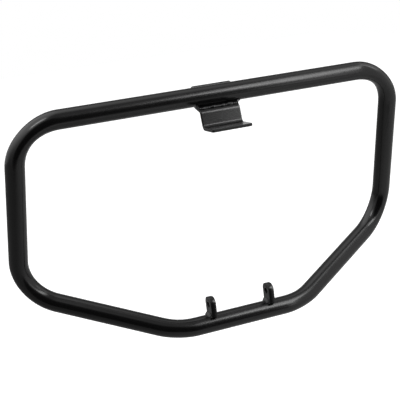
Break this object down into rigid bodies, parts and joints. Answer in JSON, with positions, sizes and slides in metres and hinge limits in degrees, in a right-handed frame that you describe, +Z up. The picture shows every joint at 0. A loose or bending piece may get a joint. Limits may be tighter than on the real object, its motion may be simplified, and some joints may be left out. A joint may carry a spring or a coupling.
{
  "type": "motorcycle crash bars",
  "caption": "Folded loop of steel tube that guards a motorcycle's engine and the rider's legs, with a formed mounting flange at the top and bored lugs at the bottom.",
  "frame": {"origin": "middle of the flange bolt holes, on the underside of the flange", "axes": "+X across the motorcycle to the rider's right, +Y forward, +Z up, with the flange level and the lugs upright"},
  "size_m": [0.7304, 0.1743, 0.4194],
  "materials": {
    "coated_tube": "gloss black powder coat",
    "coated_plate": "gloss black powder coat",
    "coated_weld": "gloss black powder coat over weld ripples"
  },
  "bodies": {
    "root": {"tube_loop": "coated_tube", "upper_bracket": "coated_plate", "lip_weld": "coated_weld", "strap_weld": "coated_weld", "lug_left": "coated_plate", "lug_right": "coated_plate", "lug_weld_left": "coated_weld", "lug_weld_right": "coated_weld"}
  },
  "joints": []
}
